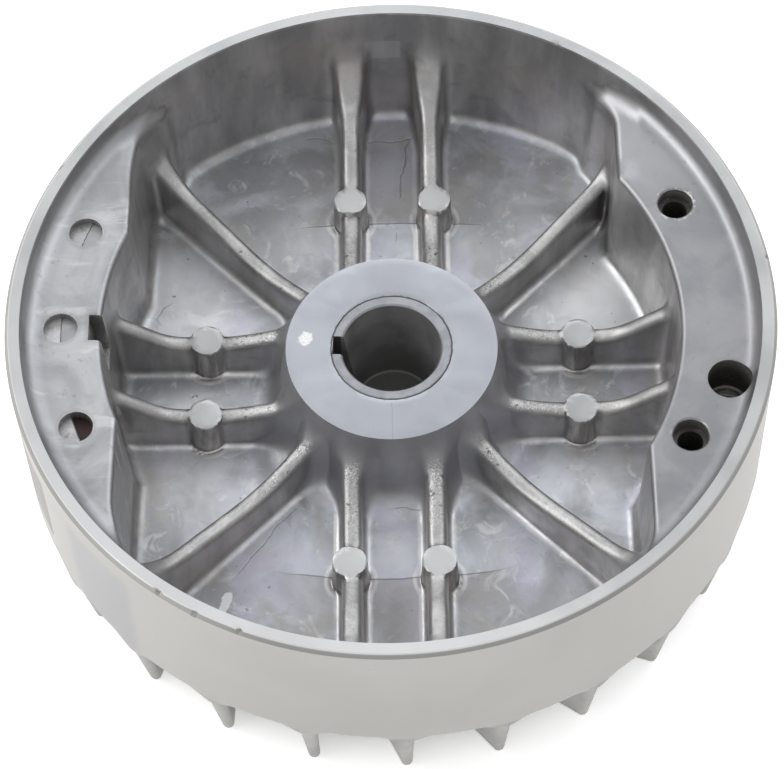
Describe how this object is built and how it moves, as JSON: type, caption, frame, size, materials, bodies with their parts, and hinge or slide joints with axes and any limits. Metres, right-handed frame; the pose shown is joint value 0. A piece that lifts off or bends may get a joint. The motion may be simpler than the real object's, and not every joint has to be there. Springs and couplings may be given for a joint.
{
  "type": "magneto flywheel",
  "caption": "Cast aluminium engine flywheel with a ribbed bowl, keyed taper hub insert, cast-in magnet group in the rim and fan blades on the back.",
  "frame": {"origin": "on the crank axis, in the plane of the fan blade edges that the flywheel stands on", "axes": "+Z along the crank axis out of the open bowl, -X towards the magnet group and the keyway"},
  "size_m": [0.18, 0.18, 0.068],
  "materials": {
    "cast_aluminium": "die-cast skin, machined on the rim, hub and lands",
    "insert_steel": "turned steel",
    "lamination_steel": "stamped plates, ground flush with the rim",
    "rivet_steel": "plain steel",
    "magnet_block": "sintered, with dark red primer",
    "keeper_steel": "dark oxidised steel"
  },
  "bodies": {
    "root": {"flywheel_casting": "cast_aluminium", "hub_insert": "insert_steel", "pole_shoe_leading": "lamination_steel", "pole_shoe_centre": "lamination_steel", "pole_shoe_trailing": "lamination_steel", "rivets_leading": "rivet_steel", "rivets_centre": "rivet_steel", "rivets_trailing": "rivet_steel", "magnet_leading": "magnet_block", "magnet_centre": "magnet_block", "magnet_trailing": "magnet_block", "magnet_keeper": "keeper_steel"}
  },
  "joints": []
}
